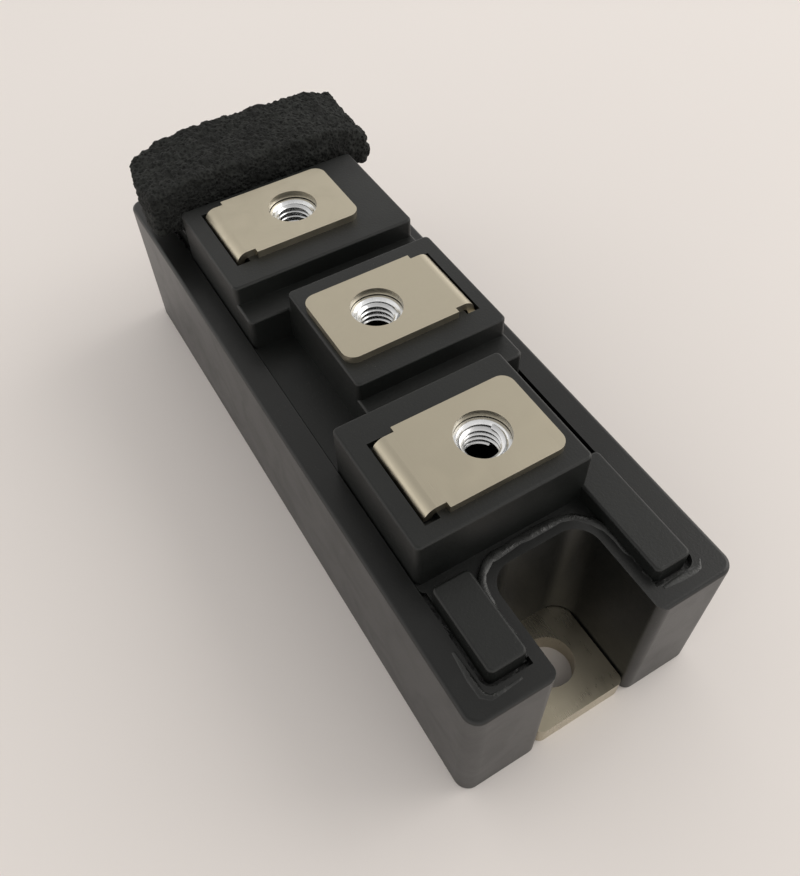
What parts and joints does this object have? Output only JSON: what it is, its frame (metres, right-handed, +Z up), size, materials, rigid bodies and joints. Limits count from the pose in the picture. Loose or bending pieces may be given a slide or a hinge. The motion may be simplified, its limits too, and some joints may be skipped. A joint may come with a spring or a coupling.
{
  "type": "power semiconductor module",
  "caption": "Flat black power module with screw terminals along its lid, a U notch with a mounting hole at each end, and foam over its signal tabs.",
  "frame": {"origin": "middle of the base plate's underside", "axes": "+X along the case towards the open notch end, +Y across it, +Z up through the terminals"},
  "size_m": [0.094, 0.034, 0.031],
  "materials": {
    "case_plastic": "satin moulded, charcoal black",
    "lid_plastic": "matte moulded, charcoal black",
    "plate_nickel": "satin nickel plate on copper",
    "terminal_nickel": "satin nickel plate on copper",
    "zinc": "bright zinc plate",
    "foam": "coarse open-cell conductive foam",
    "adhesive": "cured black adhesive, glossy",
    "gel": "clear silicone gel",
    "sleeve": "white sleeve",
    "solder": "cast solder",
    "copper": "bare copper foil",
    "ceramic": "fired alumina",
    "silicon": "metallised silicon",
    "bond_wire": "bare aluminium"
  },
  "bodies": {
    "root": {"case": "case_plastic", "lid": "lid_plastic", "base_plate": "plate_nickel", "foam_block": "foam", "lid_seal": "adhesive", "base_seal": "adhesive", "gel": "gel", "terminal_far": "terminal_nickel", "terminal_middle": "terminal_nickel", "terminal_near": "terminal_nickel", "nut_far": "zinc", "nut_middle": "zinc", "nut_near": "zinc", "emitter_tab_left": "terminal_nickel", "gate_tab_left": "terminal_nickel", "emitter_tab_right": "terminal_nickel", "gate_tab_right": "terminal_nickel", "emitter_lead_left": "sleeve", "gate_lead_left": "sleeve", "emitter_lead_right": "sleeve", "gate_lead_right": "sleeve", "plate_solder_far": "solder", "plate_solder_near": "solder", "copper_back_far": "copper", "copper_back_near": "copper", "ceramic_far": "ceramic", "ceramic_near": "ceramic", "copper_front_far": "copper", "copper_front_near": "copper", "chip_solder_far": "solder", "chip_solder_near": "solder", "igbt_chip_far": "silicon", "igbt_chip_near": "silicon", "diode_chip_far": "silicon", "diode_chip_near": "silicon", "bond_wires_far": "bond_wire", "bond_wires_near": "bond_wire"}
  },
  "joints": []
}
